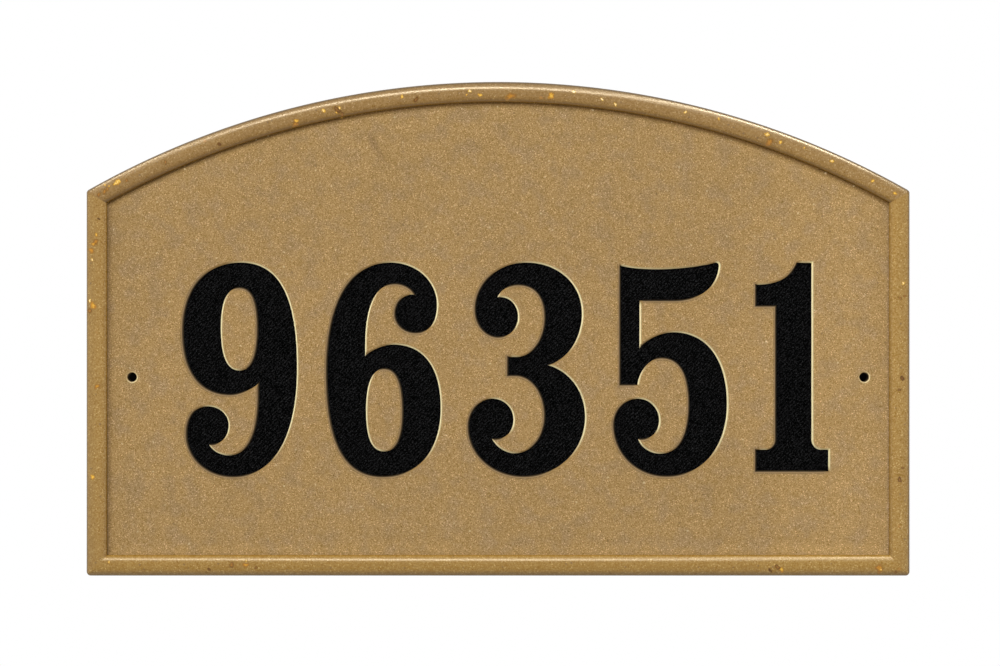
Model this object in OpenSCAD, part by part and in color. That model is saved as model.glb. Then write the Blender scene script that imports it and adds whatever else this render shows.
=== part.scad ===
// House number plaque: a cast stone tablet with an arched top, a rounded border bead,
// a recessed field, two screw holes, and numerals cut into the field and filled with black.
// The plan is drawn flat: x to the right, y up from the bottom edge, z out of the wall.
// stand_up() then turns it so that z is up and the front looks along -y.

/* [Tablet] */
// Width of the tablet
plaque_w = 400; // [330:1:520]
// Height from the bottom edge to the crown of the arch
plaque_h = 240; // [200:1:320]
// Radius of the arched top edge
arch_r = 404; // [300:1:900]
// Thickness from the wall to the top of the border bead
plaque_t = 12.7; // [9:0.1:25]
// Radius of the four outer corners, seen from the front
corner_r = 2; // [0.5:0.1:4]

/* [Border] */
// Width of the border bead
bead_w = 10; // [6:0.5:16]
// How far the bead stands above the field
bead_rise = 3; // [1.5:0.1:4]
// Radius of the bead's two sides, where it turns down to the edge and to the field
bead_side_r = 2; // [1:0.1:3]

/* [Screw holes] */
// Distance from the tablet's side to the centre of a screw hole
hole_inset = 22; // [15:0.5:60]
// Height of the screw holes above the bottom edge
hole_h = 96.5; // [40:0.5:150]
// Diameter of a screw hole
hole_d = 4.5; // [3:0.1:7]
// Width of the worn lip around each hole
hole_lip = 0.6; // [0.2:0.1:1.5]

/* [Numerals] */
// The number, made of the figures 1, 3, 5, 6 and 9
house_number = "96351";
// Height of a flat-topped figure
numeral_h = 101; // [60:1:120]
// Gap between neighbouring figures
numeral_gap = 14.2; // [6:0.2:20]
// Height of the foot of the figures above the bottom edge
baseline_h = 50.8; // [25:0.2:80]
// How far the middle of the number stands to the right of the tablet's middle
number_shift = 3.7; // [-15:0.1:15]
// Depth of the cut figures below the field
cut_depth = 2; // [0.8:0.1:4]
// How far the wall of a cut leans outward from its floor to its mouth
cut_lean = 0.8; // [0.3:0.1:1.5]
// Thickness of the black fill on the floor of a cut
fill_t = 0.3; // [0.1:0.1:0.6]

/* [Hidden] */
$fn = 96;

stone = [0.66, 0.54, 0.36];
black = [0.03, 0.03, 0.03];

field_t = plaque_t - bead_rise;
span = 2 * (plaque_w + plaque_h);
over = 1; // how far a cutting shape runs past the face that it cuts
skim = 0.1; // the same for the figures, whose walls go on leaning past the field
arch_y = plaque_h - arch_r; // the arch's centre, in the plan
hole_x = plaque_w / 2 - hole_inset;

// The bead's section is a low crown between two tighter side arcs, tangent to them.
// crown_r follows from the right triangle between the centres of the crown and a side arc.
half_w = bead_w / 2;
side_run = half_w - bead_side_r;
crown_r = (side_run * side_run + bead_rise * bead_rise - bead_side_r * bead_side_r)
    / (2 * (bead_rise - bead_side_r));
join_share = crown_r / (crown_r - bead_side_r);
join_u = half_w - side_run * join_share; // where side arc and crown meet, from the bead's foot
join_h = bead_rise - crown_r + (crown_r - bead_rise) * join_share;

// Figures are drawn on a grid of 1000 units to the height of a flat-topped figure, with the
// foot of the figure at 0. In an outline, [x, y] is a straight line to that point, and
// [cx, cy, x, y] or [cx, cy, x, y, fullness] is a bend to (x, y) that sets off towards
// (cx, cy) and arrives from there. The last step closes the outline.
grid = 1000;
fullness = 0.56;
bend_step = 3.6; // longest straight piece in a bend, in millimetres

one_outline = [
    [0, 796], [0, 896],
    [156, 896, 197, 1002, 0.68], [267, 1002],
    [267, 150], [267, 101, 316, 101], [348, 101],
    [348, 0], [0, 0],
    [0, 101], [47, 101], [96, 101, 96, 150],
    [96, 796],
];

three_outline = [
    [190, 548], [190, 461], [225, 461],
    [368, 461, 368, 265], [368, 84, 222, 84], [145, 84, 112, 155],
    [215, 140, 215, 247], [215, 347, 116, 347], [0, 347, 0, 213],
    [0, -25, 265, -25], [560, -25, 560, 260],
    [560, 460, 380, 510, 0.6], [545, 560, 545, 759, 0.6],
    [545, 1003, 277, 1003, 0.58], [33, 1003, 33, 777],
    [33, 646, 144, 646], [237, 646, 237, 742], [237, 850, 138, 836],
    [155, 898, 239, 898], [369, 898, 369, 740, 0.63], [369, 548, 230, 548],
];

five_outline = [
    [30, 988], [230, 938, 491, 1003], [508, 1003, 504, 985],
    [490, 822, 285, 822, 0.62], [122, 822],
    [122, 590], [180, 667, 287, 667],
    [543, 667, 543, 325, 0.62], [543, -24, 252, -24, 0.6],
    [0, -24, 0, 221], [0, 347, 115, 347],
    [216, 347, 216, 244], [216, 140, 115, 155],
    [136, 82, 222, 82], [362, 82, 362, 322, 0.65],
    [362, 546, 228, 546, 0.66], [130, 546, 111, 416], [30, 416],
];

nine_outline = [
    [364, 425], [364, 375],
    [364, 74, 218, 74, 0.66], [146, 74, 124, 128],
    [218, 120, 218, 220], [218, 310, 120, 310], [18, 310, 18, 177, 0.64],
    [18, -26, 239, -26], [547, -26, 547, 500, 0.64],
    [547, 1003, 278, 1003, 0.68], [0, 1003, 0, 672, 0.62],
    [0, 369, 227, 369, 0.64], [305, 369, 364, 425],
];

nine_counter = [
    [271, 884], [180, 884, 180, 690, 0.67], [180, 483, 271, 483, 0.67],
    [360, 483, 360, 690, 0.67], [360, 884, 271, 884, 0.67],
];

nine_w = 547;
// The 6 is the 9 turned half a turn inside this width and height
turn_w = 552;
turn_h = 977;

// Each figure: its character, its width on the grid, its outline and its counter
figures = [
    ["1", 348, one_outline, []],
    ["3", 560, three_outline, []],
    ["5", 543, five_outline, []],
    ["6", nine_w, turned(nine_outline), turned(nine_counter)],
    ["9", nine_w, nine_outline, nine_counter],
];

// An outline turned half a turn: every x and y of each step is mirrored, a fullness is kept
function turned(outline) = [
    for (step = outline) [
        for (i = [0:len(step) - 1]) i == 4 ? step[i] : (i % 2 == 0 ? turn_w : turn_h) - step[i]
    ]
];

function figure(character) = [for (f = figures) if (f[0] == character) f][0];

// The end point of a step of an outline
function landing(step) = len(step) == 2 ? step : [step[2], step[3]];

// Points of a cubic curve from a to b whose two handles lie towards the corner c
function bend(a, c, b, k, n) = [
    for (i = [1:n]) let (
        t = i / n,
        p = a + k * (c - a),
        q = b + k * (c - b)
    ) pow(1 - t, 3) * a + 3 * pow(1 - t, 2) * t * p + 3 * (1 - t) * t * t * q + pow(t, 3) * b
];

// All points of one step, from the point a where the step before it ended
function step_points(a, step) =
    len(step) == 2 ? [step] :
    let (
        c = [step[0], step[1]],
        b = landing(step),
        run = (norm(c - a) + norm(b - c)) * numeral_h / grid
    ) bend(a, c, b, len(step) > 4 ? step[4] : fullness, ceil(run / bend_step));

// An outline's points in millimetres, with its first point at the end
function outline_points(outline) = let (n = len(outline)) [
    for (i = [0:n - 1])
        for (p = step_points(landing(outline[(i + n - 1) % n]), outline[i]))
            p * numeral_h / grid
];

// Points without those that repeat the point before them
function tidied(points) = let (n = len(points)) [
    for (i = [0:n - 1]) if (norm(points[i] - points[(i + n - 1) % n]) > 0.01) points[i]
];

// Twice the area inside the points, above 0 where they run anticlockwise
function turn_sum(points) = let (n = len(points)) sum([
    for (i = [0:n - 1]) cross(points[i], points[(i + 1) % n])
]);

function sum(values, i = 0) = i < len(values) ? values[i] + sum(values, i + 1) : 0;

function reversed(points) = [for (i = [len(points) - 1:-1:0]) points[i]];

// The outline of a figure's floor, anticlockwise
function loop(outline) =
    let (points = tidied(outline_points(outline)))
        turn_sum(points) > 0 ? points : reversed(points);

// The unit normal to the right of the way from a to b, which is outward of the loop
function outward(a, b) = let (d = (b - a) / norm(b - a)) [d[1], -d[0]];

// A loop with all its sides moved outward by d, and its corners mitred
function grown(points, d) = let (n = len(points)) [
    for (i = [0:n - 1]) let (
        p = outward(points[(i + n - 1) % n], points[i]),
        q = outward(points[i], points[(i + 1) % n])
    ) points[i] + d * (p + q) / (1 + p * q)
];

// Left edge of each figure, from the number's own left edge
function widths(i) = figure(house_number[i])[1] * numeral_h / grid;
function figure_x(i) = i == 0 ? 0 : figure_x(i - 1) + widths(i - 1) + numeral_gap;
last = len(house_number) - 1;
number_w = figure_x(last) + widths(last);
number_x = number_shift - number_w / 2;

// From the flat plan to the wall: the origin lies between the screw holes, on the wall
module stand_up() {
    rotate([90, 0, 0]) translate([0, -hole_h, 0]) children();
}

// Half of the bead's section, from its foot at 0 to its crest line at half_w
module half_bead() {
    intersection() {
        translate([bead_side_r, 0]) circle(bead_side_r);
        square([join_u, join_h]);
    }
    intersection() {
        translate([half_w, bead_rise - crown_r]) circle(crown_r);
        translate([join_u, 0]) square([half_w - join_u, bead_rise]);
    }
}

// Section of the tablet behind the outer half of the bead, left tall inside its crest line
module blank_section(reach) {
    square([reach, field_t]);
    translate([0, field_t]) half_bead();
    translate([half_w, 0]) square([reach - half_w, plaque_t + over]);
}

// Section of what is taken away inside the crest line, down to the bead and the field
module pocket_section(reach) {
    difference() {
        translate([half_w, field_t]) square([reach - half_w, bead_rise + 2 * over]);
        translate([bead_w, field_t]) mirror([1, 0]) half_bead();
    }
}

// A section carried along a straight edge; turn 0 is the bottom edge
module straight_edge(turn, x) {
    translate([x, 0, 0]) rotate([0, 0, turn]) rotate([90, 0, 90])
        linear_extrude(span, center = true) children();
}

// A section carried round the arched edge
module arch_edge() {
    translate([0, arch_y, 0]) rotate_extrude()
        translate([arch_r, 0]) mirror([1, 0]) children();
}

module blank() {
    intersection() {
        straight_edge(0, 0) blank_section(span);
        straight_edge(-90, -plaque_w / 2) blank_section(span);
        straight_edge(90, plaque_w / 2) blank_section(span);
        arch_edge() blank_section(arch_r - over);
    }
}

module pocket() {
    intersection() {
        straight_edge(0, 0) pocket_section(span);
        straight_edge(-90, -plaque_w / 2) pocket_section(span);
        straight_edge(90, plaque_w / 2) pocket_section(span);
        arch_edge() pocket_section(arch_r - over);
    }
}

// What is taken off an outer corner, between the outward directions a and b of its two edges.
// The round stands a hair proud of both edges, so that it crosses them cleanly.
module corner_waste(x, y, a, b) {
    proud = 0.02;
    far = 3 * corner_r;
    mid = (a + b) / 2;
    translate([x, y, -over]) linear_extrude(plaque_t + 3 * over) difference() {
        polygon([
            [0, 0], far * [cos(a), sin(a)],
            2 * far * [cos(mid), sin(mid)], far * [cos(b), sin(b)],
        ]);
        translate(proud * [cos(mid), sin(mid)]) circle(corner_r);
    }
}

module outer_corners() {
    x = plaque_w / 2 - corner_r;
    rise = sqrt(pow(arch_r - corner_r, 2) - x * x);
    slope = atan2(rise, x);
    for (side = [0, 1]) mirror([side, 0, 0]) {
        corner_waste(x, corner_r, -90, 0);
        corner_waste(x, arch_y + rise, 0, slope);
    }
}

// A screw hole and its lip
module screw_hole() {
    translate([0, 0, -over]) cylinder(h = plaque_t + 2 * over, d = hole_d);
    translate([0, 0, field_t - hole_lip])
        cylinder(h = hole_lip + over, d1 = hole_d, d2 = hole_d + 2 * (hole_lip + over));
}

// A solid between a loop at height low and the same loop grown by d at height high
module leaning(points, d, low, high) {
    n = len(points);
    top = grown(points, d);
    polyhedron(
        points = concat([for (p = points) [p[0], p[1], low]], [for (p = top) [p[0], p[1], high]]),
        faces = concat(
            [[for (i = [0:n - 1]) i]],
            [for (i = [0:n - 1]) let (j = (i + 1) % n) [i, n + i, n + j, j]],
            [[for (i = [n - 1:-1:0]) n + i]]
        ),
        convexity = 8
    );
}

// The cut of one figure: its walls lean outward, and a counter is left standing in it
module figure_cut(f) {
    lean = cut_lean * (cut_depth + skim) / cut_depth;
    low = field_t - cut_depth;
    difference() {
        leaning(loop(f[2]), lean, low, field_t + skim);
        if (len(f[3]) > 0) leaning(loop(f[3]), -lean, low, field_t + skim);
    }
}

module at_figure(i) {
    translate([number_x + figure_x(i), baseline_h, 0]) children();
}

module plaque() {
    color(stone) stand_up() difference() {
        blank();
        pocket();
        outer_corners();
        for (side = [-1, 1]) translate([side * hole_x, hole_h, 0]) screw_hole();
        for (i = [0:last]) at_figure(i) figure_cut(figure(house_number[i]));
    }
}

// The black fill of the figure at place i, counted from 0 at the left
module fill(i) {
    f = figure(house_number[i]);
    color(black) stand_up() at_figure(i) translate([0, 0, field_t - cut_depth])
        linear_extrude(fill_t) difference() {
            polygon(loop(f[2]));
            if (len(f[3]) > 0) polygon(loop(f[3]));
        }
}

plaque();
fill(0);  // fill_1
fill(1);  // fill_2
fill(2);  // fill_3
fill(3);  // fill_4
fill(4);  // fill_5
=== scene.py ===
import math

import bmesh
import bpy
import numpy as np
from mathutils import Matrix, Vector
from mathutils.geometry import tessellate_polygon


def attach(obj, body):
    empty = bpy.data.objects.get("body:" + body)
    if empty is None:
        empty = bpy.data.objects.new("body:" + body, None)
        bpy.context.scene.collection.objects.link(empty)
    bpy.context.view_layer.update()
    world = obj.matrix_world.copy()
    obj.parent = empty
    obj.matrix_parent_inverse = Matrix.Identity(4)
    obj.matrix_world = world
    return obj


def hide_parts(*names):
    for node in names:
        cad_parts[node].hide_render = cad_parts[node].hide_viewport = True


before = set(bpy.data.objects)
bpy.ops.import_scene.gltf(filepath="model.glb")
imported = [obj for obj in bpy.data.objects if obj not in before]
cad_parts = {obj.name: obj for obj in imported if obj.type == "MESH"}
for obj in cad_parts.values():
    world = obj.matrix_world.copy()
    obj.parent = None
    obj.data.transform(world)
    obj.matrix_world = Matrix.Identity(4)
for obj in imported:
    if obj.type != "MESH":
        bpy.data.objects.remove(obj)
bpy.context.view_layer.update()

# Plans are drawn in millimetres, x to the right and y up from the tablet's bottom edge,
# with the height above the wall as the third number. The screw holes' line is the frame's
# height 0, and the front looks along -Y.
tablet = {
    "width": 400.0, "height": 240.0, "archRadius": 404.0, "thickness": 12.7,
    "cornerRadius": 2.0, "innerCorner": 0.15, "backEdge": 0.35,
    "beadWidth": 10.0, "beadRise": 3.0, "beadSideRadius": 2.0,
    "holeSpacing": 356.0, "holeHeight": 96.5, "holeRadius": 2.25, "holeLip": 0.6,
    "lipDepth": 1.3,  # of the lip's width
    "holeMarks": [-1, -1, -1, -0.9, -0.3, 0.9, 1.9, 2.2, 1.5],  # from the back to the field: painted shade down the barrel, then a painted highlight on the lip
    "lipLightLeast": 0.6,  # share of the lip's painted highlight at its upper left
    "footPoints": 39, "sidePoints": 23, "archPoints": 179, "cornerPoints": 9,
    "holePoints": 64, "sharpAngle": 34,
}
figures = {
    "number": "96351", "height": 101.0, "gap": 14.2, "baseline": 50.8, "shift": 3.7,
    # the last number: how far the walls' painted shadow and highlight reach onto the field
    "depth": 2.0, "lean": 0.8, "mouthRound": 0.12, "lightShadeReach": 0.74,
    "step": 0.9, "fullness": 0.56,  # spacing of a bend's points, and its usual fullness
    "nearest": 0.01, "sharpest": 0.12,  # least spacing of points, and limit of a mitre
    # the walls' painted highlight and painted shade: the direction of the lit side, and how fast
    # each grows
    "litSideTurn": 30.0, "litSideGain": 2.2, "litSideStart": 0.6, "shadedSideGain": 3.5,
}
fieldLevel = tablet["thickness"] - tablet["beadRise"]
archCentre = tablet["height"] - tablet["archRadius"]
halfWidth = tablet["width"] / 2


def say(text):
    print("stage:", text)


# A step [x, y] is a straight line; [cx, cy, x, y] or [cx, cy, x, y, fullness] is a bend
# that sets off towards (cx, cy) and arrives from there. 1000 units are a figure's height.
oneOutline = [
    [0, 796], [0, 896], [156, 896, 197, 1002, 0.68], [267, 1002], [267, 150],
    [267, 101, 316, 101], [348, 101], [348, 0], [0, 0], [0, 101], [47, 101],
    [96, 101, 96, 150], [96, 796],
]
threeOutline = [
    [190, 548], [190, 461], [225, 461], [368, 461, 368, 265], [368, 84, 222, 84],
    [145, 84, 112, 155], [215, 140, 215, 247], [215, 347, 116, 347], [0, 347, 0, 213],
    [0, -25, 265, -25], [560, -25, 560, 260], [560, 460, 380, 510, 0.6],
    [545, 560, 545, 759, 0.6], [545, 1003, 277, 1003, 0.58], [33, 1003, 33, 777],
    [33, 646, 144, 646], [237, 646, 237, 742], [237, 850, 138, 836], [155, 898, 239, 898],
    [369, 898, 369, 740, 0.63], [369, 548, 230, 548],
]
fiveOutline = [
    [30, 988], [230, 938, 491, 1003], [508, 1003, 504, 985], [490, 822, 285, 822, 0.62],
    [122, 822], [122, 590], [180, 667, 287, 667], [543, 667, 543, 325, 0.62],
    [543, -24, 252, -24, 0.6], [0, -24, 0, 221], [0, 347, 115, 347], [216, 347, 216, 244],
    [216, 140, 115, 155], [136, 82, 222, 82], [362, 82, 362, 322, 0.65],
    [362, 546, 228, 546, 0.66], [130, 546, 111, 416], [30, 416],
]
nineOutline = [
    [364, 425], [364, 375], [364, 74, 218, 74, 0.66], [146, 74, 124, 128],
    [218, 120, 218, 220], [218, 310, 120, 310], [18, 310, 18, 177, 0.64],
    [18, -26, 239, -26], [547, -26, 547, 500, 0.64], [547, 1003, 278, 1003, 0.68],
    [0, 1003, 0, 672, 0.62], [0, 369, 227, 369, 0.64], [305, 369, 364, 425],
]
nineCounter = [
    [271, 884], [180, 884, 180, 690, 0.67], [180, 483, 271, 483, 0.67],
    [360, 483, 360, 690, 0.67], [360, 884, 271, 884, 0.67],
]


def turned(outline):
    # the 6 is the 9 turned half a turn inside its width and height
    corner = [552, 977]
    return [[corner[i % 2] - v if i < 4 else v for i, v in enumerate(step)] for step in outline]


figureShapes = {
    "1": (348, oneOutline, None),
    "3": (560, threeOutline, None),
    "5": (543, fiveOutline, None),
    "6": (547, turned(nineOutline), turned(nineCounter)),
    "9": (547, nineOutline, nineCounter),
}


def smoothLoop(outline):
    # each bend is a cubic curve whose two handles lie on the lines to its corner point;
    # straight runs are cut into even pieces of up to three steps, and the loop comes back
    # anticlockwise
    unit = figures["height"] / 1000
    ends = [np.array(s[:2] if len(s) == 2 else s[2:4], float) * unit for s in outline]
    parts = []
    for i, s in enumerate(outline):
        a, b = ends[i - 1], ends[i]
        if len(s) == 2:
            n = max(1, int(np.ceil(np.linalg.norm(b - a) / (3 * figures["step"]))))
            t = np.arange(1, n + 1)[:, None] / n
            parts.append(a + t * (b - a))
            continue
        c = np.array(s[:2], float) * unit
        k = s[4] if len(s) > 4 else figures["fullness"]
        n = int(np.ceil((np.linalg.norm(c - a) + np.linalg.norm(b - c)) / figures["step"]))
        t = np.arange(1, n + 1)[:, None] / n
        p, q = a + k * (c - a), b + k * (c - b)
        parts.append((1 - t) ** 3 * a + 3 * (1 - t) ** 2 * t * p
                     + 3 * (1 - t) * t ** 2 * q + t ** 3 * b)
    loop = np.concatenate(parts)
    apart = np.linalg.norm(loop - np.roll(loop, 1, 0), axis=1)
    loop = loop[apart > figures["nearest"]]
    x, y = loop.T
    area = np.sum(x * np.roll(y, -1) - y * np.roll(x, -1))
    return loop if area > 0 else loop[::-1].copy()


def sideNormals(loop):
    way = np.roll(loop, -1, 0) - loop
    way /= np.linalg.norm(way, axis=1)[:, None]
    return np.stack([way[:, 1], -way[:, 0]], 1)


def distanceTo(loop, points):
    # the shortest distance from each point to any side of the closed loop
    a, b = loop, np.roll(loop, -1, 0)
    way = b - a
    t = np.einsum("pki,ki->pk", points[:, None] - a[None], way) / np.sum(way * way, 1)
    foot = a[None] + np.clip(t, 0, 1)[..., None] * way[None]
    return np.linalg.norm(points[:, None] - foot, axis=2).min(1)


def crossing(a, b, c, d):
    # where the line through a and b meets the line through c and d
    u, v, w = b - a, d - c, c - a
    under = u[0] * v[1] - u[1] * v[0]
    return a + u * (w[0] * v[1] - w[1] * v[0]) / under if abs(under) > 1e-9 else (b + c) / 2


def grown(loop, distance):
    # every side moves outward by the distance and corners are mitred; where two walls run
    # into each other, the points past their meeting line are gathered on it
    if abs(distance) < 1e-9:
        return loop.copy()
    after = sideNormals(loop)
    before = np.roll(after, 1, 0)
    share = 1 + np.sum(before * after, 1)
    moved = loop + distance * (before + after) / np.maximum(share, figures["sharpest"])[:, None]
    lost = distanceTo(loop, moved) < abs(distance) - 1e-3
    back = np.sum((np.roll(moved, -1, 0) - moved) * (np.roll(loop, -1, 0) - loop), 1) < 0
    lost |= back | np.roll(back, 1)  # and the sides that would run backwards
    lost |= np.roll(lost, 1) & np.roll(lost, -1)
    if lost.any() and not lost.all():
        n = len(loop)
        start = int(np.argmin(lost))
        order = (np.arange(n) + start) % n
        flags = lost[order]
        i = 0
        while i < n:
            if not flags[i]:
                i += 1
                continue
            j = i
            while j < n and flags[j]:
                j += 1
            p = [order[(i + k) % n] for k in (-1, 0)]
            q = [order[(j + k) % n] for k in (-1, 0)]
            moved[order[i:j]] = crossing(moved[p[0]], moved[p[1]], moved[q[0]], moved[q[1]])
            i = j
    return moved


def newShell():
    return {"points": [], "mark": [], "tone": [], "count": 0, "faces": [], "kinds": []}


def addRing(shell, plan, level, mark=0.0, tone=0.0):
    # a ring of points of one plan; level, mark and tone are one number or one for each point
    levels = np.broadcast_to(np.asarray(level, float), (len(plan),))
    shell["points"].append(np.column_stack([plan, levels]))
    for key, value in (("mark", mark), ("tone", tone)):
        shell[key].append(np.broadcast_to(np.asarray(value, float), (len(plan),)))
    start = shell["count"]
    shell["count"] += len(plan)
    return np.arange(start, start + len(plan))


def addFaces(shell, faces, kind):
    shell["faces"] += [tuple(int(v) for v in f) for f in faces]
    shell["kinds"] += [kind] * len(faces)


def bridge(shell, low, high, kind):
    # quads between two closed rings of equal length, outward when both run anticlockwise
    # seen from the front and the second is nearer to the viewer
    quads = np.stack([low, np.roll(low, -1), np.roll(high, -1), high], 1)
    addFaces(shell, quads, kind)


def cap(shell, rings, facing, kind):
    # flat face bounded by the first ring, with the other rings as holes in it; triangles
    # without area stay, because points along a straight edge need them
    points = np.concatenate(shell["points"])
    loops = [[tuple(points[i][:2]) + (0.0,) for i in ring] for ring in rings]
    index = np.concatenate(rings)
    triangles = np.array(tessellate_polygon(loops))
    corners = points[index][triangles][:, :, :2]
    a, b = corners[:, 1] - corners[:, 0], corners[:, 2] - corners[:, 0]
    area = a[:, 0] * b[:, 1] - a[:, 1] * b[:, 0]
    wrong = area * facing < 0
    triangles[wrong] = triangles[wrong][:, ::-1]
    addFaces(shell, index[triangles], kind)


def toMesh(shell, name, materials, sharpAngle):
    # plan millimetres to metres in the frame, with equal points welded
    plan = np.concatenate(shell["points"])
    place = np.column_stack([plan[:, 0], -plan[:, 2], plan[:, 1] - tablet["holeHeight"]]) / 1000
    mesh = bpy.data.meshes.new(name)
    mesh.from_pydata(place.tolist(), [], shell["faces"])
    mesh.polygons.foreach_set("material_index", np.array(shell["kinds"], np.int32))
    for material in materials:
        mesh.materials.append(material)
    for key in ("mark", "tone"):
        values = mesh.attributes.new(key, "FLOAT", "POINT")
        values.data.foreach_set("value", np.concatenate(shell[key]).astype(np.float32))
    welded = bmesh.new()
    welded.from_mesh(mesh)
    bmesh.ops.remove_doubles(welded, verts=welded.verts, dist=2e-7)
    bmesh.ops.dissolve_degenerate(welded, edges=welded.edges, dist=1e-8)
    bmesh.ops.recalc_face_normals(welded, faces=welded.faces)
    welded.to_mesh(mesh)
    openEdges = sum(1 for e in welded.edges if len(e.link_faces) != 2)
    welded.free()
    mesh.polygons.foreach_set("use_smooth", np.ones(len(mesh.polygons), bool))
    mesh.set_sharp_from_angle(angle=math.radians(sharpAngle))
    piece = bpy.data.objects.new(name, mesh)
    bpy.context.scene.collection.objects.link(piece)
    print(name, len(mesh.polygons), "faces, edges not shared by two faces:", openEdges)
    return piece


def arcPoints(centre, radius, start, end, n):
    angle = np.linspace(start, end, n)
    return np.column_stack([centre[0] + radius * np.cos(angle),
                            centre[1] + radius * np.sin(angle)])


def outlineRing(inset):
    # the tablet's outline moved inward: straight foot and sides, an arc at the top, and
    # corner rounds that shrink with the inset down to a small one
    r = max(tablet["cornerRadius"] - inset, tablet["innerCorner"])
    x = halfWidth - inset - r
    foot = inset + r
    reach = tablet["archRadius"] - inset - r
    shoulder = archCentre + math.sqrt(reach ** 2 - x ** 2)
    lean = math.atan2(shoulder - archCentre, x)
    turn = math.pi
    low, side, corner = (tablet[key] for key in ("footPoints", "sidePoints", "cornerPoints"))
    parts = [
        np.column_stack([np.linspace(-x, x, low + 2)[1:-1], np.full(low, float(inset))]),
        arcPoints((x, foot), r, -turn / 2, 0, corner),
        np.column_stack([np.full(side, x + r), np.linspace(foot, shoulder, side + 2)[1:-1]]),
        arcPoints((x, shoulder), r, 0, lean, corner),
        arcPoints((0, archCentre), tablet["archRadius"] - inset, lean, turn - lean,
                  tablet["archPoints"] + 2)[1:-1],
        arcPoints((-x, shoulder), r, turn - lean, turn, corner),
        np.column_stack([np.full(side, -x - r), np.linspace(shoulder, foot, side + 2)[1:-1]]),
        arcPoints((-x, foot), r, turn, 1.5 * turn, corner),
    ]
    return np.concatenate(parts)


def beadArcs():
    # the bead's section is a low crown between two side arcs, each tangent to the next: half
    # its width, its rise, the side radius, the run to a side arc's centre, the crown radius
    half, rise, side = tablet["beadWidth"] / 2, tablet["beadRise"], tablet["beadSideRadius"]
    run = half - side
    return half, rise, side, run, (run ** 2 + rise ** 2 - side ** 2) / (2 * (rise - side))


def beadSection():
    # inset and level of the section's points, upright where it meets the side and the field
    half, rise, side, run, crown = beadArcs()
    join = math.pi - math.atan2(crown - rise, run)
    up = arcPoints((side, 0), side, math.pi, join, 9)
    over = arcPoints((half, rise - crown), crown, join, math.pi - join, 25)
    down = up[::-1] * [-1, 1] + [2 * half, 0]
    return np.concatenate([up, over[1:-1], down]) + [0, fieldLevel]


def circlePlan(x, y, radius, n=tablet["holePoints"]):
    return arcPoints((x, y), radius, 0, 2 * math.pi, n + 1)[:-1]


def mouthProfile():
    # offset from the floor's outline and depth below the field: a leaning wall, then a
    # small round over the mouth's edge
    slope = math.atan2(figures["depth"], figures["lean"])
    r = figures["mouthRound"]
    walls = np.linspace(0, 1, 5)[:-1]
    tangent = r * math.tan(slope / 2)
    edge = 1 - tangent * math.sin(slope) / figures["depth"]
    line = np.column_stack([walls * edge * figures["lean"],
                            -figures["depth"] * (1 - walls * edge)])
    angle = np.linspace(slope, 0, 5)
    arc = np.column_stack([figures["lean"] + tangent - r * np.sin(angle),
                           -r + r * np.cos(angle)])
    return np.concatenate([line, arc])


def wallLightAndShade(loop, way):
    # painted light and shade on the walls, by the cosine between the wall's plan normal and one
    # direction: 1 is pale stone painted as a highlight (right of a stroke), -1 is a dark painted
    # shade (left and foot)
    after = sideNormals(loop)
    normal = after + np.roll(after, 1, 0)
    normal /= np.maximum(np.linalg.norm(normal, axis=1), 1e-6)[:, None]
    turn = math.radians(figures["litSideTurn"])
    facing = way * normal @ np.array([math.cos(turn), math.sin(turn)])
    paintedLight = np.clip(figures["litSideGain"] * facing - figures["litSideStart"], 0, 1)
    return paintedLight - np.clip(-figures["shadedSideGain"] * facing, 0, 1)


polished, blasted, cutWall, castBack = 0, 1, 2, 3


def placedLoops():
    # every figure's floor outline and counter, moved to its place in the number
    unit = figures["height"] / 1000
    wide = [figureShapes[c][0] * unit for c in figures["number"]]
    total = sum(wide) + figures["gap"] * (len(wide) - 1)
    left = figures["shift"] - total / 2
    loops = []
    for c, w in zip(figures["number"], wide):
        shift = np.array([left, figures["baseline"]])
        outline, counter = figureShapes[c][1], figureShapes[c][2]
        loops.append((smoothLoop(outline) + shift,
                      smoothLoop(counter) + shift if counter else None))
        left += w + figures["gap"]
    return loops


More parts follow.
